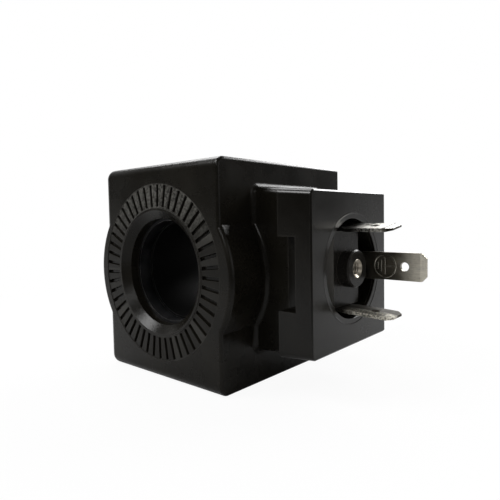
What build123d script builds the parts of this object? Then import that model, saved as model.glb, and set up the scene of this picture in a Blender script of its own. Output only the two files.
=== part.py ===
from build123d import *
import math
import os

# An encapsulated solenoid valve coil, in millimetres.
# The bore runs along Y through the origin, which lies half way along it.
# The serrated front looks to -Y, the plug base points to +X, and the casing stands on its -Z side.

# Casing
body_width = 42.0
body_depth = 48.0
body_height = 51.0
front_edge_radius = 2.2
long_edge_radius = 2.5
plug_side_edge_radius = 0.75
rear_edge_radius = 0.4
lobe_radius = 20.5
plug_lobe_wall = 3.5
far_lobe_wall = 2.7
lobe_edge_radius = 1.05
lobe_drop = 0.4

# Serrated locking ring, sunk a little into the front face
serration_count = 49
first_serration_angle = 89.0
serration_inner_radius = 15.5
serration_outer_radius = 20.7
serration_depth = 0.8
serration_mouth = 1.0
serration_root = 0.55
ring_inner_radius = 15.2
ring_outer_radius = 20.9
ring_sink = 0.12

# Bore, from the mouths to the bobbin
mouth_radius = 14.65
nose_radius = 12.8
mouth_depth = 1.7
nose_length = 4.0
plate_bore_radius = 12.2
bobbin_bore_radius = 11.7

# Steel circuit around the winding
pole_plate_thickness = 3.5
pole_plate_inset = 2.5
pole_plate_corner = 2.0
casing_roof = 1.5
return_plate_thickness = 2.8
return_plate_step = 4.5
return_tab_width = 10.0

# Bobbin and winding
bobbin_wall = 1.6
flange_thickness = 1.5
flange_gap = 0.2
winding_margin = 1.0
tape_thickness = 0.3
peg_radius = 1.2
peg_length = 2.0
lead_slot_width = 1.6

# Neck and plug head, which taper in height towards the plug
connector_rise = 0.9
neck_width = 26.0
neck_root_radius = 1.2
neck_length = 9.5
head_thickness = 8.25
head_width = 32.2
head_height = 34.0
head_toward_front = 0.45
draft_angle = 4.8
connector_front_radius = 1.4
connector_rear_radius = 0.5
head_rim_chamfer = 0.3
side_notch_length = 4.3
side_notch_height = 15.4
edge_margin = 0.1

# Contact carrier: a grooved block in the neck, a disc in the head, the platform and the post
spigot_width = 20.0
spigot_height = 27.0
spigot_length = 5.0
spigot_groove_depth = 1.0
spigot_groove_width = 1.6
socket_radius = 11.0
socket_lead_in = 1.5
socket_lead_in_depth = 0.8
socket_depth = 6.5
platform_width = 10.8
platform_sink = 1.8
platform_gap = 0.25
platform_corner = 1.0
post_radius = 4.2
post_proud = 1.0
post_edge = 0.3
insert_radius = 2.15
insert_length = 7.6
insert_groove_depth = 0.35
insert_groove_width = 1.2
screw_hole_radius = 1.25

# Contact blades, on a cross with its centre at the screw post
contact_circle_radius = 9.0
blade_width = 6.3
blade_thickness = 0.8
line_blade_reach = 10.1
earth_blade_reach = 12.9
blade_tip_chamfer = 1.1
blade_tip_bevel = 1.4
blade_tip_thickness = 0.45
blade_hole_radius = 1.0
blade_hole_from_tip = 4.9
blade_notch_depth = 0.8
blade_notch_width = 1.4
tail_width = 3.0
tail_hole_radius = 0.5
tail_past_lead = 0.7

# Leads, solder and earth strap
wire_radius = 0.3
sleeve_radius = 0.55
start_bend_radius = 3.0
finish_bend_radius = 1.4
lead_inset = 0.1
sleeve_stop = 0.6
finish_lead_y = -9.0
solder_film = 0.1
solder_radius = 0.8
solder_length = 2.4
strap_thickness = 0.5
strap_width = 3.2
strap_overlap = 1.2

# Stations worked out from the sizes above
half_width = body_width / 2
half_depth = body_depth / 2
half_height = body_height / 2
plate_outer_y = half_depth - nose_length
plate_inner_y = plate_outer_y - pole_plate_thickness
return_plate_top_z = half_height - casing_roof
return_plate_low_z = return_plate_top_z - return_plate_thickness
flange_radius = return_plate_low_z - flange_gap
winding_half_length = plate_inner_y - flange_thickness
bobbin_tube_radius = bobbin_bore_radius + bobbin_wall
peg_circle = (bobbin_tube_radius + flange_radius) / 2
winding_radius = flange_radius - winding_margin
tape_radius = winding_radius + tape_thickness
pole_plate_width = 2 * (flange_radius - pole_plate_inset)
return_plate_width = pole_plate_width - 2 * return_plate_step
neck_end = half_width + neck_length
head_end = neck_end + head_thickness
spigot_end = neck_end - spigot_length
socket_floor = head_end - socket_depth
platform_top = head_end - platform_sink
platform_height = 2 * (contact_circle_radius - blade_thickness / 2 - platform_gap)
post_top = head_end + post_proud
insert_bottom = post_top - insert_length
upper_blade_z = connector_rise + contact_circle_radius
lower_blade_z = connector_rise - contact_circle_radius
wire_stand_off = blade_thickness / 2 + solder_film + wire_radius
upper_wire_z = upper_blade_z - wire_stand_off
lower_wire_z = lower_blade_z + wire_stand_off
lead_x = flange_radius - lead_inset
line_tail_x = lead_x - tail_past_lead
strap_x = flange_radius + flange_gap
earth_tail_x = strap_x + strap_thickness


def along_y(radius, start, end, x=0.0, z=0.0):
    """A round bar that lies along Y between two stations."""
    return Pos(x, (start + end) / 2, z) * Rot(90, 0, 0) * Cylinder(radius, end - start)


def along_x(radius, start, end, y=0.0, z=0.0):
    """A round bar that lies along X between two stations."""
    return Pos((start + end) / 2, y, z) * Rot(0, 90, 0) * Cylinder(radius, end - start)


def slab(x_range, y_range, z_range):
    """A box given by its limits on each axis."""
    spans = (x_range, y_range, z_range)
    middle = [(low + high) / 2 for low, high in spans]
    size = [high - low for low, high in spans]
    return Pos(*middle) * Box(*size)


def about(middle, width):
    """The two limits of a width about its middle."""
    return (middle - width / 2, middle + width / 2)


def casing_block():
    """The square casing. Its edges are well rounded at the front and away from the plug."""
    block = Box(body_width, body_depth, body_height)
    block = fillet(block.edges().filter_by(Axis.Y).group_by(Axis.X)[0], long_edge_radius)
    front_edges = block.faces().sort_by(Axis.Y)[0].edges().sort_by(Axis.X)
    block = fillet(front_edges[:-1], front_edge_radius)
    plug_side = block.faces().sort_by(Axis.X)[-1]
    rear = plug_side.edges().sort_by(Axis.Y)[-1]
    block = fillet(plug_side.edges() - [rear], plug_side_edge_radius)
    return fillet(block.faces().sort_by(Axis.Y)[-1].edges(), rear_edge_radius)


def lobe(side, wall):
    """The round bulge that covers the bobbin flanges at one side of the casing."""
    middle = side * (flange_radius + wall - lobe_radius)
    bulge = along_y(lobe_radius, -half_depth, half_depth, x=middle, z=-lobe_drop)
    bulge = fillet(bulge.edges().group_by(Axis.Y)[0], lobe_edge_radius)
    return fillet(bulge.edges().group_by(Axis.Y)[-1], rear_edge_radius)


def drafted_block(start, end, y_range):
    """A block along X whose top and bottom close in towards the plug face."""
    slope = math.tan(math.radians(draft_angle))
    high_start = head_height / 2 + (head_end - start) * slope
    high_end = head_height / 2 + (head_end - end) * slope
    outline = Polyline(
        (start, connector_rise + high_start),
        (end, connector_rise + high_end),
        (end, connector_rise - high_end),
        (start, connector_rise - high_start),
        close=True,
    )
    front, rear = y_range
    block = extrude(Plane.XZ.offset(-rear) * make_face(outline), rear - front)
    long_edges = [edge for edge in block.edges() if edge.bounding_box().size.X > (end - start) / 2]
    front_edges = ShapeList(long_edges).sort_by(Axis.Y)[:2]
    block = fillet(front_edges, connector_front_radius)
    long_edges = [edge for edge in block.edges() if edge.bounding_box().size.X > (end - start) / 2]
    return fillet(ShapeList(long_edges).sort_by(Axis.Y)[-2:], connector_rear_radius)


def rooted(wall, neck):
    """A wall of the casing joined to a neck, with the corner between them rounded."""
    end = neck.bounding_box().max.X
    joined = wall + neck
    near = [edge for edge in joined.edges() if neck.distance_to(edge @ 0.5) < edge_margin]
    root = [edge for edge in near if half_width - edge_margin < edge.bounding_box().max.X < end - edge_margin]
    return fillet(root, neck_root_radius)


def serrations():
    """The radial grooves of the locking ring."""
    front = -half_depth
    above = serration_depth
    flare = (serration_mouth - serration_root) / 2
    section = Polyline(
        (front - above, serration_mouth / 2 + flare),
        (front + serration_depth, serration_root / 2),
        (front + serration_depth, -serration_root / 2),
        (front - above, -serration_mouth / 2 - flare),
        close=True,
    )
    groove = extrude(
        Plane.YZ.offset(serration_inner_radius) * make_face(section),
        serration_outer_radius - serration_inner_radius,
    )
    pitch = 360 / serration_count
    turns = [first_serration_angle + index * pitch for index in range(serration_count)]
    return [Rot(0, turn, 0) * groove for turn in turns]


def bore_void():
    """Everything inside the casing's own bore wall, with its two flared mouths."""
    profile = Polyline(
        (0, -half_depth),
        (mouth_radius, -half_depth),
        (nose_radius, -half_depth + mouth_depth),
        (nose_radius, -plate_outer_y),
        (plate_bore_radius, -plate_outer_y),
        (plate_bore_radius, plate_outer_y),
        (nose_radius, plate_outer_y),
        (nose_radius, half_depth - mouth_depth),
        (mouth_radius, half_depth),
        (0, half_depth),
        close=True,
    )
    return revolve(make_face(profile), Axis.Y)


def encapsulation(inner_pieces):
    """The moulded casing, cast round everything inside it."""
    neck = drafted_block(half_width - 2 * neck_root_radius, neck_end, about(0, neck_width))
    flat_height = head_height - 2 * connector_front_radius
    neck_core = slab((0, neck_end), about(0, neck_width), about(connector_rise, flat_height))
    body = rooted(casing_block(), neck) + rooted(lobe(1, plug_lobe_wall), neck_core)
    body += lobe(-1, far_lobe_wall)
    body -= bore_void()
    sink = along_y(ring_outer_radius, -half_depth, -half_depth + ring_sink)
    body -= sink - along_y(ring_inner_radius, -half_depth, -half_depth + ring_sink)
    body -= serrations()
    for piece in inner_pieces:
        body -= piece
    return body


def bobbin():
    """The spool: tube, two flanges, a slot for the start lead and pegs for the pole plates."""
    tube = along_y(bobbin_tube_radius, -plate_inner_y, plate_inner_y)
    spool = tube
    for side in (-1, 1):
        inner, outer = sorted((side * winding_half_length, side * plate_inner_y))
        spool += along_y(flange_radius, inner, outer)
        peg_inner, peg_outer = sorted((side * plate_inner_y, side * (plate_inner_y + peg_length)))
        for z in (-peg_circle, peg_circle):
            spool += along_y(peg_radius, peg_inner, peg_outer, z=z)
    spool -= along_y(bobbin_bore_radius, -plate_outer_y, plate_outer_y)
    slot = slab(
        (0, flange_radius),
        (-plate_inner_y, -winding_half_length),
        about(lower_wire_z, lead_slot_width),
    )
    return spool - (slot - along_y(bobbin_tube_radius, -half_depth, half_depth))


def ring(outer, inner, half_length):
    """A plain sleeve about the bore axis."""
    return along_y(outer, -half_length, half_length) - along_y(inner, -half_length, half_length)


def pole_plate(side):
    """A steel end plate with its bore, two peg holes and two notches for the return plates."""
    inner, outer = sorted((side * plate_inner_y, side * plate_outer_y))
    plate = slab(about(0, pole_plate_width), (inner, outer), (-return_plate_top_z, return_plate_top_z))
    plate = fillet(plate.edges().filter_by(Axis.Y), pole_plate_corner)
    plate -= along_y(plate_bore_radius, inner, outer)
    peg_inner, peg_outer = sorted((side * plate_inner_y, side * (plate_inner_y + peg_length)))
    for end in (-1, 1):
        plate -= along_y(peg_radius, peg_inner, peg_outer, z=end * peg_circle)
        low, high = sorted((end * return_plate_low_z, end * return_plate_top_z))
        plate -= slab(about(0, return_tab_width), (inner, outer), (low, high))
    return plate


def return_plate(end):
    """A steel side plate that joins the two pole plates, with a tab at each end."""
    low, high = sorted((end * return_plate_low_z, end * return_plate_top_z))
    plate = slab(about(0, return_plate_width), about(0, 2 * plate_inner_y), (low, high))
    return plate + slab(about(0, return_tab_width), about(0, 2 * plate_outer_y), (low, high))


def post():
    """The round screw post, from the socket floor to its chamfered top."""
    bar = along_x(post_radius, socket_floor, post_top, z=connector_rise)
    return chamfer(bar.edges().group_by(Axis.X)[-1], post_edge)


def spigot():
    """The block that locks the carrier into the neck, with a groove all round."""
    size = (about(0, spigot_width), about(connector_rise, spigot_height))
    band = about((spigot_end + neck_end) / 2, spigot_groove_width)
    core = slab(
        band,
        about(0, spigot_width - 2 * spigot_groove_depth),
        about(connector_rise, spigot_height - 2 * spigot_groove_depth),
    )
    return slab((spigot_end, neck_end), *size) - (slab(band, *size) - core)


def contact_carrier(fitted_pieces):
    """The inner moulding that holds the blades and the screw insert."""
    platform = slab(
        (socket_floor, platform_top),
        about(0, platform_width),
        about(connector_rise, platform_height),
    )
    platform = fillet(platform.edges().filter_by(Axis.X), platform_corner)
    disc = along_x(socket_radius, neck_end, socket_floor, z=connector_rise)
    carrier = spigot() + disc + platform + post()
    carrier -= along_x(insert_radius, insert_bottom, post_top, z=connector_rise)
    carrier += insert_rib()
    for piece in fitted_pieces:
        carrier -= piece
    return carrier


def plug_head():
    """The frame that a plug seats on, with its round socket and a notch in each side."""
    head_range = about(-head_toward_front, head_width)
    head = drafted_block(neck_end, head_end, head_range)
    head = chamfer(head.edges().group_by(Axis.X)[-1], head_rim_chamfer)
    lead_in = Polyline(
        (head_end - socket_lead_in_depth, 0),
        (head_end - socket_lead_in_depth, socket_radius),
        (head_end, socket_radius + socket_lead_in),
        (head_end, 0),
        close=True,
    )
    head -= Pos(0, 0, connector_rise) * revolve(make_face(lead_in), Axis.X)
    head -= along_x(socket_radius, neck_end, head_end, z=connector_rise)
    notch_height = about(connector_rise, side_notch_height)
    for limits in ((head_range[0], -neck_width / 2), (neck_width / 2, head_range[1])):
        head -= slab((neck_end, neck_end + side_notch_length), limits, notch_height)
    return head


def insert_rib():
    """The carrier's rib that fills the groove of the screw insert."""
    band = about((insert_bottom + post_top) / 2, insert_groove_width)
    rib = along_x(insert_radius, *band, z=connector_rise)
    return rib - along_x(insert_radius - insert_groove_depth, *band, z=connector_rise)


def screw_insert():
    """The threaded bush in the post, drilled to the thread's core, with a groove that holds it."""
    bush = along_x(insert_radius, insert_bottom, post_top, z=connector_rise) - insert_rib()
    return bush - along_x(screw_hole_radius, insert_bottom, post_top, z=connector_rise)


def blade(reach, tail_x):
    """A contact blade in the XY plane: tapered tip, hole, retaining notches and a narrow tail."""
    tip = head_end + reach
    half = blade_width / 2
    notch_x = neck_end + blade_notch_width
    outline = Polyline(
        (spigot_end, -half),
        (notch_x - blade_notch_width, -half),
        (notch_x - blade_notch_width, -half + blade_notch_depth),
        (notch_x, -half + blade_notch_depth),
        (notch_x, -half),
        (tip - blade_tip_chamfer, -half),
        (tip, -half + blade_tip_chamfer),
        (tip, half - blade_tip_chamfer),
        (tip - blade_tip_chamfer, half),
        (notch_x, half),
        (notch_x, half - blade_notch_depth),
        (notch_x - blade_notch_width, half - blade_notch_depth),
        (notch_x - blade_notch_width, half),
        (spigot_end, half),
        close=True,
    )
    plate = extrude(make_face(outline), blade_thickness / 2, both=True)
    bevel_start = tip - blade_tip_bevel
    shaved = (blade_thickness - blade_tip_thickness) / 2
    for side in (-1, 1):
        face = side * blade_thickness / 2
        wedge = make_face(
            Plane.XZ
            * Polyline((bevel_start, face), (tip, face), (tip, face - side * shaved), close=True)
        )
        plate -= extrude(wedge, half, both=True)
    plate -= Pos(tip - blade_hole_from_tip, 0, 0) * Cylinder(blade_hole_radius, blade_thickness)
    tail = slab((tail_x, spigot_end), about(0, tail_width), about(0, blade_thickness))
    return plate + tail


def line_blade(z):
    """One of the two current blades, with a solder hole in its tail."""
    piece = blade(line_blade_reach, line_tail_x)
    hole_x = (line_tail_x + spigot_end) / 2
    piece -= Pos(hole_x, 0, 0) * Cylinder(tail_hole_radius, blade_thickness)
    return Pos(0, 0, z) * piece


def earth_blade():
    """The longer earth blade, which stands at a right angle to the other two."""
    piece = Rot(90, 0, 0) * blade(earth_blade_reach, earth_tail_x)
    return Pos(0, contact_circle_radius, connector_rise) * piece


def lead(points, bend_radius, radius):
    """A round wire or sleeve along straight runs with one bend."""
    path = FilletPolyline(*points, radius=bend_radius)
    start = Plane(origin=path @ 0, z_dir=path % 0)
    return sweep(start * Circle(radius), path)


def start_route(last_y):
    """The start lead's route: up the flange slot and along to the lower tail."""
    slot_y = -(winding_half_length + plate_inner_y) / 2
    first_x = math.sqrt(bobbin_tube_radius**2 - lower_wire_z**2) + wire_radius
    return ((first_x, slot_y, lower_wire_z), (lead_x, slot_y, lower_wire_z), (lead_x, last_y, lower_wire_z))


def finish_route(last_y):
    """The finish lead's route: off the outer layer and along to the upper tail."""
    first_x = math.sqrt(winding_radius**2 - upper_wire_z**2)
    return (
        (first_x, finish_lead_y, upper_wire_z),
        (lead_x, finish_lead_y, upper_wire_z),
        (lead_x, last_y, upper_wire_z),
    )


def solder(z, fitted_pieces):
    """A solder joint over the end of a lead, on the face of a blade's tail."""
    drop = along_y(solder_radius, *about(0, solder_length), x=lead_x, z=z)
    for piece in fitted_pieces:
        drop -= piece
    return drop


def earth_strap():
    """The strip from the earth blade's tail to the edge of the rear pole plate."""
    weld_y = contact_circle_radius - strap_overlap
    middle_y = (plate_inner_y + plate_outer_y) / 2
    edge_x = pole_plate_width / 2
    width = about(connector_rise, strap_width)
    run = slab((strap_x, strap_x + strap_thickness), (weld_y, middle_y), width)
    drop = slab((edge_x, strap_x + strap_thickness), (middle_y - strap_thickness, middle_y), width)
    foot = slab((edge_x, edge_x + strap_thickness), (middle_y, plate_outer_y), width)
    return run + drop + foot


def build():
    """Every piece by name."""
    pieces = {}
    pieces["blade_line"] = line_blade(upper_blade_z)
    pieces["blade_neutral"] = line_blade(lower_blade_z)
    pieces["blade_earth"] = earth_blade()
    blades = [pieces[name] for name in ("blade_line", "blade_neutral", "blade_earth")]
    pieces["screw_insert"] = screw_insert()
    pieces["contact_carrier"] = contact_carrier(blades)
    pieces["plug_head"] = plug_head()

    pieces["bobbin"] = bobbin()
    wire_end = tail_width / 2
    sleeve_end = -solder_length / 2 - sleeve_stop
    start_points, finish_points = start_route(wire_end), finish_route(wire_end)
    pieces["lead_start"] = lead(start_points, start_bend_radius, wire_radius)
    pieces["lead_finish"] = lead(finish_points, finish_bend_radius, wire_radius)
    start_cover = lead(start_route(sleeve_end), start_bend_radius, sleeve_radius)
    finish_cover = lead(finish_route(sleeve_end), finish_bend_radius, sleeve_radius)
    winding = ring(winding_radius, bobbin_tube_radius, winding_half_length)
    pieces["winding"] = winding - start_cover - finish_cover
    tape = ring(tape_radius, winding_radius, winding_half_length)
    pieces["winding_tape"] = tape - start_cover - finish_cover
    pieces["sleeve_start"] = start_cover - pieces["lead_start"] - pieces["bobbin"]
    pieces["sleeve_finish"] = finish_cover - pieces["lead_finish"]
    lower_fit = [pieces["lead_start"], pieces["blade_neutral"]]
    upper_fit = [pieces["lead_finish"], pieces["blade_line"]]
    pieces["solder_start"] = solder(lower_wire_z, lower_fit)
    pieces["solder_finish"] = solder(upper_wire_z, upper_fit)
    pieces["earth_strap"] = earth_strap()

    pieces["pole_plate_front"] = pole_plate(-1)
    pieces["pole_plate_rear"] = pole_plate(1)
    pieces["return_plate_top"] = return_plate(1)
    pieces["return_plate_bottom"] = return_plate(-1)
    pieces["encapsulation"] = encapsulation(pieces.values())
    return pieces


os.makedirs("parts", exist_ok=True)
for name, shape in build().items():
    export_step(shape, f"parts/{name}.step")
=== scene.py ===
import math

import bmesh
import bpy
from mathutils import Matrix, Vector


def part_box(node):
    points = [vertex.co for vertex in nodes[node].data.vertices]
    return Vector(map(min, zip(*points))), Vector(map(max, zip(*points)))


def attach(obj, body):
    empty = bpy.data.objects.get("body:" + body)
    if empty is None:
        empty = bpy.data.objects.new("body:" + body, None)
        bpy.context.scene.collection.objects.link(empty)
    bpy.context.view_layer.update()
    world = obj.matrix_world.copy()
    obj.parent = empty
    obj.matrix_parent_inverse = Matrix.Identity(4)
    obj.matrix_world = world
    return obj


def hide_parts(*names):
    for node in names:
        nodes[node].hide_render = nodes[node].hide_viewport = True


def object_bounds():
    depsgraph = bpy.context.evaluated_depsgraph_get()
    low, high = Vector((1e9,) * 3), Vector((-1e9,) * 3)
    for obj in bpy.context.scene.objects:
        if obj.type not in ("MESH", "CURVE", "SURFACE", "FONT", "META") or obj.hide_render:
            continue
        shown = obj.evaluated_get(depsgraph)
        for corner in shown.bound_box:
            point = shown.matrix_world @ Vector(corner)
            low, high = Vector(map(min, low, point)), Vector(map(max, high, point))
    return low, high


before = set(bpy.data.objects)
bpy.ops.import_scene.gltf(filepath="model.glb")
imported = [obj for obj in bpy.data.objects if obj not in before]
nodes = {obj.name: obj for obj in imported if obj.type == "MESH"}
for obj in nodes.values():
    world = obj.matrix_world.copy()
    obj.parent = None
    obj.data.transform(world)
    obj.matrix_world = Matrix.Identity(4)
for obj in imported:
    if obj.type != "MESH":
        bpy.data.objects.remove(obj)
cad_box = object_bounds()
MM = 0.001

# Camera, measured on the photograph's own frame of 500 x 500
PIXELS = 500
FOCAL_PIXELS = 463.1
CENTRE_PIXEL = (251.6, 242.7)
CAMERA_PLACE = (0.08858, -0.0915, 0.01248)
CAMERA_TURN = math.radians(-40.99)
CAMERA_TILT = math.radians(-3.075)
CAMERA_ROLL = math.radians(-1.057)
SENSOR = 36.0
CLIP_START = 0.01

# Locking ring on the front face, in millimetres, as the model cuts it
RING_RADII = (15.2, 20.9)
RING_EDGE = 0.1
RING_FRONT = -23.7
LAND_COUNT = 49
FIRST_LAND = math.radians(-89.0)

# Platform in the socket, in millimetres: its depth below the plug face, and where its walls end along X
PLATFORM_SINK = 1.8
WALL_TOP = 36.9

# How handling bent the two current blades, with lengths in millimetres
UPPER_TWIST = math.radians(8.5)
UPPER_LIFT = 0.05
LOWER_TWIST = math.radians(1.5)
LOWER_LIFT = -0.05
LOWER_DROOP = 0.45
DROOP_POWER = 1.5
BEND_START = 0.2
BEND_LENGTH = 1.0
BLADE_CUTS = 24

# Seat round the socket, in millimetres: its section, as height over the plug face and radius
SEAT_SECTION = (
    (-0.80, 11.00), (-0.20, 11.00), (-0.10, 11.10), (-0.06, 12.05),
    (0.01, 12.22), (0.025, 12.34), (0.01, 12.46), (-0.06, 12.42),
)
SEAT_SIDES = 144

# Screw insert, in millimetres, with radii for its core and countersink
GROOVE_DEPTH = 0.35
GROOVE_WIDTH = 1.2
INSERT_CHAMFER = 0.12
SCREW_CORE = 1.25
COUNTERSINK = 1.95
THREAD_PITCH = 0.5
THREAD_DEPTH = 0.27
THREAD_SLOPE = 1.25
ROWS_PER_TURN = 10
INSERT_SIDES = 72

# Earth sign, in millimetres. Each bar is a place along the blade and half a length across it
SIGN_FROM_TIP = 9.6
SIGN_RADIUS = 2.6
SIGN_RELIEF = 0.05
SIGN_SINK = 0.01
SIGN_RING_LINE = 0.17
SIGN_BAR_LINE = 1.2 * SIGN_RING_LINE
SIGN_BARS = ((-1.75, 0.75), (-0.9, 1.3), (-0.05, 1.85))
SIGN_STEM = (0.1, 2.3)
SIGN_SIDES = 48

# Section of the sign's lines, in shares of their half width and their height
BAR_SECTION = ((-1.0, 0.0), (-0.6, 1.0), (0.6, 1.0), (1.0, 0.0))

# Floor and room. Mirrored rays see both as white behind the object and dim before it.
# Places on the floor are in millimetres from the origin, and its half size in metres.
# Places in the room are parts of a direction
BEHIND = (-0.656, 0.755, 0.0)
DIM = 0.08
FLOOR_HALF = 2.0
FLOOR_GREY = 0.6
FLOOR_TURNS_WHITE = (-200.0, -20.0)
SHADOW_REACH = (60.0, 160.0)
NEAR_WHITE = 0.94
ROOM_TURNS_WHITE = (0.22, 0.62)
CEILING = (0.35, 0.65)
CEILING_SHARE = 0.35
SIDE_GLOW_FROM = (0.82, 0.96)
SIDE_GLOW = 0.5
ROOM_LIGHT = 0.30


# Shader helpers

def put(tree, kind, inputs=None, **settings):
    """Adds a shader node. An input is a number, a colour or another node's output."""
    made = tree.nodes.new(kind)
    for key, value in settings.items():
        setattr(made, key, value)
    for key, value in (inputs or {}).items():
        if isinstance(value, bpy.types.NodeSocket):
            tree.links.new(value, made.inputs[key])
        else:
            made.inputs[key].default_value = value
    return made


def calc(tree, operation, first, second=0.0, third=None, clamp=False):
    """One step of arithmetic."""
    inputs = {0: first, 1: second}
    if third is not None:
        inputs[2] = third
    return put(tree, "ShaderNodeMath", inputs, operation=operation, use_clamp=clamp).outputs[0]


def ramp(tree, value, stops):
    """A colour that follows a value through stops of (place, colour)."""
    made = put(tree, "ShaderNodeValToRGB", {"Fac": value})
    band = made.color_ramp
    while len(band.elements) < len(stops):
        band.elements.new(0.5)
    for element, (place, colour) in zip(band.elements, stops):
        element.position = place
        element.color = (*colour, 1.0)
    return made.outputs["Color"]


def spread(tree, value, low, high, to_low, to_high):
    """Takes the range from low to high onto another, and keeps to its ends outside it."""
    inputs = {"Value": value, "From Min": low, "From Max": high, "To Min": to_low, "To Max": to_high}
    return put(tree, "ShaderNodeMapRange", inputs).outputs["Result"]


def part_of(tree, vector, axis):
    """One of a vector's three parts."""
    return put(tree, "ShaderNodeSeparateXYZ", {0: vector}).outputs[axis]


def millimetres(tree):
    """The point of the surface, in millimetres."""
    point = put(tree, "ShaderNodeTexCoord").outputs["Object"]
    return put(tree, "ShaderNodeVectorMath", {0: point, 3: 1.0 / MM}, operation="SCALE").outputs[0]


def facing(tree, axis):
    """The part of the surface's direction that lies along an axis."""
    return part_of(tree, put(tree, "ShaderNodeTexCoord").outputs["Normal"], axis)


def noise(tree, point, scale, detail=2.0, roughness=0.5):
    """Cloudy noise from nought to one."""
    inputs = {"Vector": point, "Scale": scale, "Detail": detail, "Roughness": roughness}
    return put(tree, "ShaderNodeTexNoise", inputs).outputs["Fac"]


def edges(tree, radius_mm, gain):
    """One on sharp edges, nought on flat ground."""
    soft = put(tree, "ShaderNodeBevel", {"Radius": radius_mm * MM}, samples=6).outputs["Normal"]
    hard = put(tree, "ShaderNodeNewGeometry").outputs["Normal"]
    same = put(tree, "ShaderNodeVectorMath", {0: soft, 1: hard}, operation="DOT_PRODUCT").outputs["Value"]
    return calc(tree, "MULTIPLY", calc(tree, "SUBTRACT", 1.0, same), gain, clamp=True)


def blend(tree, factor, first, second):
    """Mixes two colours. The node keeps them at its inputs 6 and 7, and its colour at output 2."""
    made = put(tree, "ShaderNodeMix", {"Factor": factor}, data_type="RGBA")
    for index, value in ((6, first), (7, second)):
        if isinstance(value, bpy.types.NodeSocket):
            tree.links.new(value, made.inputs[index])
        else:
            made.inputs[index].default_value = (*value, 1.0)
    return made.outputs[2]


def relief(tree, layers):
    """Stacks bumps. Each layer is a height, its depth in mm and its strength."""
    normal = None
    for height, depth_mm, strength in layers:
        inputs = {"Height": height, "Distance": depth_mm * MM, "Strength": strength}
        if normal:
            inputs["Normal"] = normal
        normal = put(tree, "ShaderNodeBump", inputs).outputs["Normal"]
    return normal


def new_material(name, **constants):
    """A material with a Principled shader, whose plain values are set on its own sockets."""
    material = bpy.data.materials.new(name)
    material.use_nodes = True
    tree = material.node_tree
    shader = tree.nodes["Principled BSDF"]
    for key, value in constants.items():
        shader.inputs[key.replace("_", " ")].default_value = value
    return material, tree, shader


def feed(tree, shader, colour, roughness, normal):
    """Joins what was worked out to the shader."""
    tree.links.new(colour, shader.inputs["Base Color"])
    tree.links.new(roughness, shader.inputs["Roughness"])
    tree.links.new(normal, shader.inputs["Normal"])


# Materials

def ring_lands(tree, point):
    """The lands of the locking ring: where they are, and a random number for each land."""
    parts = put(tree, "ShaderNodeSeparateXYZ", {0: point}).outputs
    radius = calc(tree, "SQRT", calc(tree, "MULTIPLY_ADD", parts[0], parts[0],
                                     calc(tree, "MULTIPLY", parts[2], parts[2])))
    inner, outer = RING_RADII
    inside = spread(tree, radius, inner - RING_EDGE, inner + RING_EDGE, 0.0, 1.0)
    outside = spread(tree, radius, outer - RING_EDGE, outer + RING_EDGE, 1.0, 0.0)
    front = calc(tree, "LESS_THAN", parts[1], RING_FRONT)
    place = calc(tree, "MULTIPLY", calc(tree, "MULTIPLY", inside, outside), front)
    angle = calc(tree, "SUBTRACT", calc(tree, "ARCTAN2", parts[2], parts[0]), FIRST_LAND)
    land = calc(tree, "FLOOR", calc(tree, "MULTIPLY", angle, LAND_COUNT / (2 * math.pi)))
    chance = put(tree, "ShaderNodeTexWhiteNoise", {"W": land}, noise_dimensions="1D").outputs["Value"]
    return place, chance


def top_light_and_scuffs(tree, point):
    """Paler streaks across the lands, growing towards the top of the ring: painted light on the top lands,
    with scuffing.
    """
    height = part_of(tree, point, 2)
    streaks = noise(tree, point, 2.2, 4.0, 0.7)
    share = spread(tree, height, 7.0, 17.0, 0.0, 1.0)
    return calc(tree, "MULTIPLY", share, spread(tree, streaks, 0.42, 0.6, 0.05, 1.0))


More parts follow.
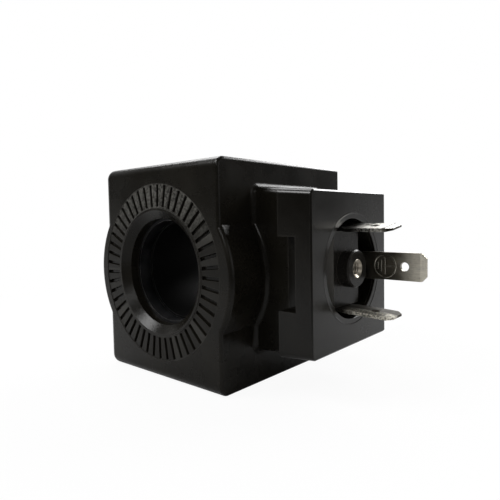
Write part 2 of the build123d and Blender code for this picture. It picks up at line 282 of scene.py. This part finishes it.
def moulded(name, dark, light, worn, gloss, grain, shine=0.5, ring=None, painted_wall_light=None):
    """Moulded plastic: drifting tone, fine grain, faint flow marks, specks of dust, and edges lightened
    by wear and a painted highlight.

    The lands of the locking ring are made paler towards the colour ring: painted sheen on single lands, and
    on the top lands painted light with scuffing. The walls below the platform that look to the front, which
    lie in shade, take a lighter colour of their own as painted light.
    """
    material, tree, shader = new_material(name, Specular_IOR_Level=shine)
    point = millimetres(tree)
    drift = noise(tree, point, 0.09, 3.0, 0.6)
    flow = put(
        tree, "ShaderNodeTexWave", {"Vector": point, "Scale": 0.03, "Distortion": 9.0, "Detail": 3.0},
        bands_direction="DIAGONAL",
    ).outputs["Fac"]
    fine = noise(tree, point, 3.0, 4.0, 0.65)
    tone = calc(tree, "ADD", calc(tree, "MULTIPLY", drift, 0.4), calc(tree, "MULTIPLY", flow, 0.15))
    tone = calc(tree, "ADD", tone, calc(tree, "MULTIPLY", fine, 0.45))
    colour = ramp(tree, tone, ((0.3, dark), (0.7, light)))
    dust = put(tree, "ShaderNodeTexVoronoi", {"Vector": point, "Scale": 0.45}).outputs["Distance"]
    colour = blend(tree, spread(tree, dust, 0.03, 0.05, 0.5, 0.0), colour, worn)
    # Lighter edges: wear, and a painted highlight along them
    wear_and_edge_highlight = calc(tree, "MULTIPLY", edges(tree, 0.35, 3.0), spread(tree, drift, 0.35, 0.65, 0.2, 0.9))
    colour = blend(tree, wear_and_edge_highlight, colour, worn)
    rough = calc(tree, "ADD", spread(tree, drift, 0.3, 0.7, gloss - 0.05, gloss + 0.06),
                 calc(tree, "MULTIPLY", fine, 0.06))
    # Painted sheen on single lands of the locking ring, and painted light with scuffing on its top lands
    if ring:
        place, chance = ring_lands(tree, point)
        lone = calc(tree, "MULTIPLY", calc(tree, "POWER", chance, 4.0), 0.25)
        pale = calc(tree, "ADD", lone, top_light_and_scuffs(tree, point))
        share = calc(tree, "MULTIPLY", place, spread(tree, pale, 0.0, 1.0, 0.0, 0.9))
        colour = blend(tree, share, colour, ring)
        rough = calc(tree, "MULTIPLY_ADD", place, 0.12, rough)
    # Painted light: the walls below the platform that look to the front lie in shade and get a lighter colour
    if painted_wall_light:
        below = calc(tree, "LESS_THAN", part_of(tree, point, 0), WALL_TOP)
        near = calc(tree, "LESS_THAN", facing(tree, 1), -0.7)
        colour = blend(tree, calc(tree, "MULTIPLY", below, near), colour, painted_wall_light)
    bumps = ((noise(tree, point, 0.35, 2.0, 0.4), 0.25, 0.08), (fine, 0.03, grain))
    feed(tree, shader, colour, rough, relief(tree, bumps))
    return material


def plated(name, dark, light, stain_and_shade, gloss, root_shade=None, tip=None, rim_wear_and_highlight=None, flat=None, band=None, specks=0.0):
    """Tinned or nickelled metal: brushed, stained in patches, with edges in the colour rim or light,
    lightened as wear and, on the steel, as a painted highlight too.

    A blade is darker towards its root (fade, two places along X) in painted shade, past the bend of its tip
    (tip), on the far side of it (band, two places along Y) in a painted dark reflection, on the edge faces
    round its flat sides (flat, their axis) and in fine specks all over (specks, how dark).
    """
    material, tree, shader = new_material(name, Metallic=1.0)
    point = millimetres(tree)
    stretched = put(tree, "ShaderNodeMapping", {"Vector": point, "Scale": (0.25, 3.0, 3.0)}).outputs[0]
    brush = noise(tree, stretched, 2.2, 4.0, 0.7)
    patch = noise(tree, point, 0.22, 4.0, 0.6)
    mixed = calc(tree, "ADD", calc(tree, "MULTIPLY", brush, 0.4), calc(tree, "MULTIPLY", patch, 0.6))
    colour = ramp(tree, mixed, ((0.36, dark), (0.62, light)))
    colour = blend(tree, spread(tree, patch, 0.55, 0.72, 0.0, 0.45), colour, stain_and_shade)
    rough = calc(tree, "ADD", spread(tree, patch, 0.3, 0.7, gloss * 0.7, gloss * 1.45),
                 calc(tree, "MULTIPLY", brush, gloss * 0.5))
    # Painted shade: the blade darkens towards its root, where it leaves the pocket
    if root_shade:
        reach = calc(tree, "MULTIPLY_ADD", calc(tree, "SUBTRACT", patch, 0.5), 4.0, part_of(tree, point, 0))
        colour = blend(tree, spread(tree, reach, *root_shade, 0.9, 0.0), colour, stain_and_shade)
    if tip:
        worn = spread(tree, noise(tree, point, 2.0, 3.0, 0.7), 0.4, 0.6, 0.88, 0.98)
        past = spread(tree, part_of(tree, point, 0), tip - 0.2, tip + 0.2, 0.0, 1.0)
        colour = blend(tree, calc(tree, "MULTIPLY", worn, past), colour, stain_and_shade)
    # Lighter edges: wear, and on the steel a painted highlight
    colour = blend(tree, edges(tree, 0.15, 2.0), colour, rim_wear_and_highlight or light)
    if specks:
        grains = spread(tree, noise(tree, point, 2.6, 2.0, 0.6), 0.44, 0.58, 0.0, specks)
        colour = blend(tree, grains, colour, stain_and_shade)
    # Painted dark reflection: the blade darkens towards its far side
    if band:
        colour = blend(tree, spread(tree, part_of(tree, point, 1), *band, 0.0, 0.97), colour, stain_and_shade)
    # Darker, in pits, on the edge faces round the blade's flat sides
    if flat is not None:
        level = calc(tree, "ABSOLUTE", facing(tree, flat))
        pits = spread(tree, noise(tree, point, 3.0, 3.0, 0.7), 0.42, 0.58, 0.9, 0.35)
        edge_faces = calc(tree, "MULTIPLY", spread(tree, level, 0.5, 0.8, 1.0, 0.0), pits)
        colour = blend(tree, edge_faces, colour, stain_and_shade)
    feed(tree, shader, colour, rough, relief(tree, ((patch, 0.05, 0.15), (brush, 0.012, 0.35))))
    return material


# The casing's fourth colour paints sheen and light on the lands of the locking ring
casing = moulded("CasingResin", (0.0034, 0.0030, 0.0021), (0.0074, 0.0065, 0.0048), (0.03, 0.028, 0.025),
                 gloss=0.23, grain=0.6, shine=0.12, ring=(0.085, 0.083, 0.075))
head = moulded("HeadPlastic", (0.0024, 0.0021, 0.0015), (0.0054, 0.0048, 0.0036), (0.03, 0.028, 0.025),
               gloss=0.20, grain=0.25, shine=0.17)
# The carrier's fourth colour paints light on the shaded walls below its platform
carrier = moulded("CarrierPlastic", (0.0055, 0.0050, 0.0044), (0.010, 0.0092, 0.0080), (0.05, 0.045, 0.04),
                  gloss=0.20, grain=0.25, shine=0.09, painted_wall_light=(0.15, 0.144, 0.132))
spool = moulded("BobbinPlastic", (0.001, 0.001, 0.001), (0.002, 0.002, 0.002), (0.03, 0.03, 0.03),
                gloss=0.5, grain=0.3, shine=0.05)
# Each blade darkens towards its root in painted shade
upper = plated("UpperContact", (0.55, 0.53, 0.47), (0.95, 0.93, 0.87), (0.03, 0.027, 0.02), gloss=0.24,
               root_shade=(39.5, 41.2), tip=46.9, flat=2)
# The lower blade also darkens on its far side, a painted dark reflection
lower = plated("LowerContact", (0.60, 0.57, 0.48), (1.0, 0.96, 0.86), (0.035, 0.031, 0.024), gloss=0.42,
               root_shade=(37.5, 41.5), band=(-0.9, 0.3), specks=0.75)
earthed = plated("EarthContact", (0.62, 0.57, 0.465), (1.0, 0.95, 0.82), (0.085, 0.075, 0.055), gloss=0.26,
                 root_shade=(44.5, 49.0), flat=1)
contact = plated("TinnedContact", (0.40, 0.38, 0.32), (0.74, 0.70, 0.62), (0.16, 0.14, 0.11), gloss=0.25)
# The steel's edge colour is wear and a painted highlight on the edges of the plates
steel = plated("CircuitSteel", (0.02, 0.02, 0.021), (0.05, 0.05, 0.053), (0.02, 0.016, 0.012), gloss=0.4,
               rim_wear_and_highlight=(0.5, 0.49, 0.46))
bright = plated("PlatedInsert", (0.14, 0.125, 0.095), (0.34, 0.31, 0.26), (0.08, 0.055, 0.03), gloss=0.22)
copper = plated("EnamelledWire", (0.42, 0.15, 0.06), (0.6, 0.24, 0.1), (0.3, 0.1, 0.05), gloss=0.3)
film = moulded("TapeFilm", (0.5, 0.36, 0.08), (0.7, 0.52, 0.14), (0.8, 0.7, 0.4), gloss=0.3, grain=0.1)
sleeving = moulded("Sleeving", (0.4, 0.4, 0.37), (0.6, 0.6, 0.56), (0.7, 0.7, 0.66), gloss=0.6, grain=0.5)

FINISH = {
    "encapsulation": casing,
    "plug_head": head,
    "contact_carrier": carrier,
    "bobbin": spool,
    "screw_insert": bright,
    "blade_line": upper,
    "blade_neutral": lower,
    "blade_earth": earthed,
    "earth_strap": contact,
    "solder_start": contact,
    "solder_finish": contact,
    "pole_plate_front": steel,
    "pole_plate_rear": steel,
    "return_plate_top": steel,
    "return_plate_bottom": steel,
    "winding": copper,
    "lead_start": copper,
    "lead_finish": copper,
    "winding_tape": film,
    "sleeve_start": sleeving,
    "sleeve_finish": sleeving,
}
for name, piece in nodes.items():
    piece.data.materials.clear()
    piece.data.materials.append(FINISH[name])


# Detail pieces

def piece_from(bm, name, material, node=None):
    """Turns a bmesh into a piece that rides on the object and may stand for a node."""
    mesh = bpy.data.meshes.new(name)
    bm.normal_update()
    bm.to_mesh(mesh)
    bm.free()
    made = bpy.data.objects.new(name, mesh)
    bpy.context.scene.collection.objects.link(made)
    mesh.materials.append(material)
    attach(made, "root")
    if node:
        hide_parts(node)
    return made


def bent_blade(node, name, twist, lift, droop=0.0):
    """A copy of a flat blade, turned near edge down and shifted where it leaves the platform.

    It is cut across at even steps first, so that it can bend. Its droop grows towards the tip.
    """
    bm = bmesh.new()
    bm.from_mesh(nodes[node].data)
    low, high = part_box(node)
    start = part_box("plug_head")[1][0] + (BEND_START - PLATFORM_SINK) * MM
    reach = high[0] - start
    for index in range(BLADE_CUTS):
        place = start + reach * index / BLADE_CUTS
        everything = bm.verts[:] + bm.edges[:] + bm.faces[:]
        bmesh.ops.bisect_plane(bm, geom=everything, plane_co=(place, 0, 0), plane_no=(1, 0, 0))
    for vertex in bm.verts:
        past = vertex.co.x - start
        share = min(max(past / (BEND_LENGTH * MM), 0.0), 1.0)
        eased = share * share * (3 - 2 * share)
        fallen = droop * max(past / reach, 0.0) ** DROOP_POWER
        middle = Vector((vertex.co.x, 0.0, (low[2] + high[2]) / 2))
        turned = Matrix.Rotation(twist * eased, 3, "X") @ (vertex.co - middle)
        vertex.co = middle + turned + Vector((0, 0, (lift * eased - fallen) * MM))
    piece_from(bm, name, FINISH[node], node)


bent_blade("blade_line", "BladeLine", UPPER_TWIST, UPPER_LIFT)
bent_blade("blade_neutral", "BladeNeutral", LOWER_TWIST, LOWER_LIFT, LOWER_DROOP)


def post_axis():
    """The Y and Z of the axis that the post, the insert and the socket share."""
    low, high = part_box("screw_insert")
    return (low[1] + high[1]) / 2, (low[2] + high[2]) / 2


def turned_about_post(bm, rings):
    """Joins rings of (x, radius) points about the post's axis into one closed skin."""
    middle_y, middle_z = post_axis()
    around = len(rings[0])
    loops = []
    for ring in rings:
        loop = []
        for step, (x, radius) in enumerate(ring):
            angle = 2 * math.pi * step / around
            place = (x, middle_y + radius * math.cos(angle), middle_z + radius * math.sin(angle))
            loop.append(bm.verts.new(place))
        loops.append(loop)
    for first, second in zip(loops, loops[1:] + loops[:1]):
        for step in range(around):
            after = (step + 1) % around
            bm.faces.new((first[step], first[after], second[after], second[step]))
    bmesh.ops.recalc_face_normals(bm, faces=bm.faces[:])


def socket_seat():
    """The flat seat round the socket, laid in its lead-in, with a fine raised line at its edge."""
    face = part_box("plug_head")[1][0]
    bm = bmesh.new()
    turned_about_post(bm, [[(face + x * MM, radius * MM)] * SEAT_SIDES for x, radius in SEAT_SECTION])
    piece_from(bm, "SocketSeat", head)


socket_seat()


def screw_insert():
    """The bush in the post: its groove, a wide countersink and the thread."""
    low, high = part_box("screw_insert")
    length = high[0] - low[0]
    outer = (high[1] - low[1]) / 2
    floor_of_groove = outer - GROOVE_DEPTH * MM
    chamfer = INSERT_CHAMFER * MM
    centre = (low[0] + high[0]) / 2
    groove_start, groove_end = (centre + side * GROOVE_WIDTH / 2 * MM for side in (-1, 1))
    outside = [
        (low[0], outer),
        (groove_start, outer),
        (groove_start, floor_of_groove),
        (groove_end, floor_of_groove),
        (groove_end, outer),
        (high[0] - chamfer, outer),
        (high[0], outer - chamfer),
    ]
    rings = [[corner] * INSERT_SIDES for corner in outside]
    rows = int(length / (THREAD_PITCH * MM) * ROWS_PER_TURN)
    for row in range(rows + 1):
        x = high[0] - length * row / rows
        deep = high[0] - x
        ring = []
        for step in range(INSERT_SIDES):
            turn = (deep / (THREAD_PITCH * MM) + step / INSERT_SIDES) % 1.0
            tooth = min((1.0 - abs(2.0 * turn - 1.0)) * THREAD_SLOPE, 1.0)
            ring.append((x, max((SCREW_CORE + THREAD_DEPTH * tooth) * MM, COUNTERSINK * MM - deep)))
        rings.append(ring)
    bm = bmesh.new()
    turned_about_post(bm, rings)
    piece_from(bm, "ThreadedInsert", bright, "screw_insert")


screw_insert()


def bar(bm, points, width, ground, lift, closed=False):
    """A raised bar with sloping sides along a line on the earth blade's near face."""
    count = len(points)
    sections = []
    for index, point in enumerate(points):
        before = points[index - 1] if closed or index else point
        after = points[(index + 1) % count] if closed or index < count - 1 else point
        ahead = (after - before).normalized()
        across = Vector((-ahead.y, ahead.x))
        section = []
        for side, height in BAR_SECTION:
            flat = point + across * side * width
            section.append(bm.verts.new((flat.x, ground - height * lift, flat.y)))
        sections.append(section)
    pairs = list(zip(sections, sections[1:]))
    if closed:
        pairs.append((sections[-1], sections[0]))
    else:
        bm.faces.new(sections[0])
        bm.faces.new(sections[-1][::-1])
    for first, second in pairs:
        for low, high in ((0, 1), (1, 2), (2, 3), (3, 0)):
            bm.faces.new((first[low], first[high], second[high], second[low]))


def earth_sign():
    """The generic earth sign stamped on the earth blade: a ring, three bars and a stem."""
    low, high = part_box("blade_earth")
    ground = low[1] + SIGN_SINK * MM
    lift = (SIGN_RELIEF + SIGN_SINK) * MM
    middle = Vector((high[0] - SIGN_FROM_TIP * MM, (low[2] + high[2]) / 2))
    turns = [2 * math.pi * step / SIGN_SIDES for step in range(SIGN_SIDES)]
    circle = [middle + Vector((math.cos(a), math.sin(a))) * SIGN_RADIUS * MM for a in turns]
    bm = bmesh.new()
    bar(bm, circle, SIGN_RING_LINE * MM, ground, lift, closed=True)
    for offset, half in SIGN_BARS:
        ends = [middle + Vector((offset * MM, side * half * MM)) for side in (-1, 1)]
        bar(bm, ends, SIGN_BAR_LINE * MM, ground, lift)
    stem = [middle + Vector((offset * MM, 0)) for offset in SIGN_STEM]
    bar(bm, stem, SIGN_BAR_LINE * MM, ground, lift)
    bmesh.ops.recalc_face_normals(bm, faces=bm.faces[:])
    piece_from(bm, "EarthSign", earthed)


earth_sign()


# Floor and room

def ray_kinds(tree):
    """Two masks: rays straight from the camera, and rays mirrored or let through."""
    path = put(tree, "ShaderNodeLightPath").outputs
    mirrored = calc(tree, "ADD", path["Is Glossy Ray"], path["Is Transmission Ray"], clamp=True)
    return path["Is Camera Ray"], mirrored


def how_far_behind(tree, vector):
    """How far a point or a direction lies behind the object, as the camera sees it."""
    inputs = {0: vector, 1: BEHIND}
    return put(tree, "ShaderNodeVectorMath", inputs, operation="DOT_PRODUCT").outputs["Value"]


def lit_where(tree, rays, share, strength, surface):
    """The surface, with a share of plain white light of some strength where such rays meet it."""
    white = put(tree, "ShaderNodeEmission", {"Color": (1, 1, 1, 1), "Strength": strength}).outputs[0]
    factor = calc(tree, "MULTIPLY", rays, share)
    return put(tree, "ShaderNodeMixShader", {0: factor, 1: surface, 2: white}).outputs[0]


def floor_material():
    """A floor that is white to the camera with a faint shadow kept near the object.

    To mirrored rays it is plain grey ground near the object, and far from it white behind and dim before.
    """
    material = bpy.data.materials.new("FloorPale")
    material.use_nodes = True
    tree = material.node_tree
    tree.nodes.clear()
    seen, mirrored = ray_kinds(tree)
    point = millimetres(tree)
    distance = put(tree, "ShaderNodeVectorMath", {0: point}, operation="LENGTH").outputs["Value"]
    far_off = spread(tree, distance, *SHADOW_REACH, 0.0, 1.0)
    white_behind = spread(tree, how_far_behind(tree, point), *FLOOR_TURNS_WHITE, DIM, 1.0)
    grey = (FLOOR_GREY, FLOOR_GREY, FLOOR_GREY, 1)
    surface = put(tree, "ShaderNodeBsdfDiffuse", {"Color": grey}).outputs[0]
    surface = lit_where(tree, mirrored, far_off, white_behind, surface)
    surface = lit_where(tree, seen, spread(tree, distance, *SHADOW_REACH, NEAR_WHITE, 1.0), 1.0, surface)
    put(tree, "ShaderNodeOutputMaterial", {"Surface": surface})
    return material


def floor():
    """A plain floor at the foot of the object."""
    around = ((-1, -1), (1, -1), (1, 1), (-1, 1))
    corners = [(x * FLOOR_HALF, y * FLOOR_HALF, cad_box[0][2]) for x, y in around]
    mesh = bpy.data.meshes.new("Floor")
    mesh.from_pydata(corners, [], [(0, 1, 2, 3)])
    made = bpy.data.objects.new("Floor", mesh)
    bpy.context.scene.collection.objects.link(made)
    mesh.materials.append(floor_material())


floor()


def room_light(tree, strength):
    """Plain white light from all round."""
    return put(tree, "ShaderNodeBackground", {"Color": (1, 1, 1, 1), "Strength": strength}).outputs[0]


def studio():
    """A room that is white to the camera and dim to the light that it scatters.

    To mirrored rays it is white behind the object, darker overhead and before it, with a glow at its right.
    """
    world = bpy.data.worlds.new("Studio")
    world.use_nodes = True
    tree = world.node_tree
    tree.nodes.clear()
    seen, mirrored = ray_kinds(tree)
    direction = put(tree, "ShaderNodeTexCoord").outputs["Generated"]
    back = spread(tree, how_far_behind(tree, direction), *ROOM_TURNS_WHITE, DIM, 1.0)
    ceiling = spread(tree, part_of(tree, direction, 2), *CEILING, 1.0, CEILING_SHARE)
    side = spread(tree, part_of(tree, direction, 0), *SIDE_GLOW_FROM, 0.0, SIDE_GLOW)
    glossy = calc(tree, "ADD", calc(tree, "MULTIPLY", back, ceiling), side)
    surface = {0: mirrored, 1: room_light(tree, ROOM_LIGHT), 2: room_light(tree, glossy)}
    surface = put(tree, "ShaderNodeMixShader", surface).outputs[0]
    surface = {0: seen, 1: surface, 2: room_light(tree, 1.0)}
    surface = put(tree, "ShaderNodeMixShader", surface).outputs[0]
    put(tree, "ShaderNodeOutputWorld", {"Surface": surface})
    return world


bpy.context.scene.world = studio()


# Lamps and camera

def softbox(name, azimuth, elevation, distance, size, power, aim=(0.0, 0.0, 0.0)):
    """A soft lamp that looks at a point, placed by its direction in degrees and its distance."""
    flat, rise = math.radians(azimuth), math.radians(elevation)
    place = Vector((
        distance * math.cos(rise) * math.cos(flat),
        distance * math.cos(rise) * math.sin(flat),
        distance * math.sin(rise),
    ))
    data = bpy.data.lights.new(name, "AREA")
    data.shape = "RECTANGLE"
    data.size, data.size_y = size
    data.energy = power
    lamp = bpy.data.objects.new(name, data)
    lamp.location = place
    lamp.rotation_euler = (Vector(aim) - place).to_track_quat("-Z", "Y").to_euler()
    bpy.context.scene.collection.objects.link(lamp)


softbox("KeyFront", -125, 47, 0.50, (0.22, 0.16), 2.2)
softbox("KeyBack", 155, 52, 0.50, (0.20, 0.30), 1.3)
softbox("BackStrip", 80, 35, 0.50, (0.46, 0.16), 3.2, aim=(0.02, 0.0, 0.0))
softbox("Front", -71, 29, 0.60, (0.07, 0.07), 0.5)
softbox("Right", -6, 20, 0.65, (0.35, 0.35), 0.5, aim=(0.02, 0.0, 0.0))


def photo_camera():
    """The camera of the photograph, from its turn, tilt and roll."""
    turn, tilt, roll = CAMERA_TURN, CAMERA_TILT, CAMERA_ROLL
    ahead = Vector((math.cos(tilt) * math.sin(turn), math.cos(tilt) * math.cos(turn), math.sin(tilt)))
    level = Vector((math.cos(turn), -math.sin(turn), 0.0))
    upright = level.cross(ahead)
    side = level * math.cos(roll) + upright * math.sin(roll)
    top = upright * math.cos(roll) - level * math.sin(roll)
    data = bpy.data.cameras.new("Camera")
    data.sensor_width = SENSOR
    data.lens = FOCAL_PIXELS / PIXELS * SENSOR
    data.shift_x = (PIXELS / 2 - CENTRE_PIXEL[0]) / PIXELS
    data.shift_y = (CENTRE_PIXEL[1] - PIXELS / 2) / PIXELS
    data.clip_start = CLIP_START
    made = bpy.data.objects.new("Camera", data)
    turned = Matrix((side, top, -ahead)).transposed().to_4x4()
    made.matrix_world = Matrix.Translation(CAMERA_PLACE) @ turned
    bpy.context.scene.collection.objects.link(made)
    return made


camera = photo_camera()
bpy.context.scene.camera = camera
bpy.context.scene.view_settings.view_transform = "Standard"
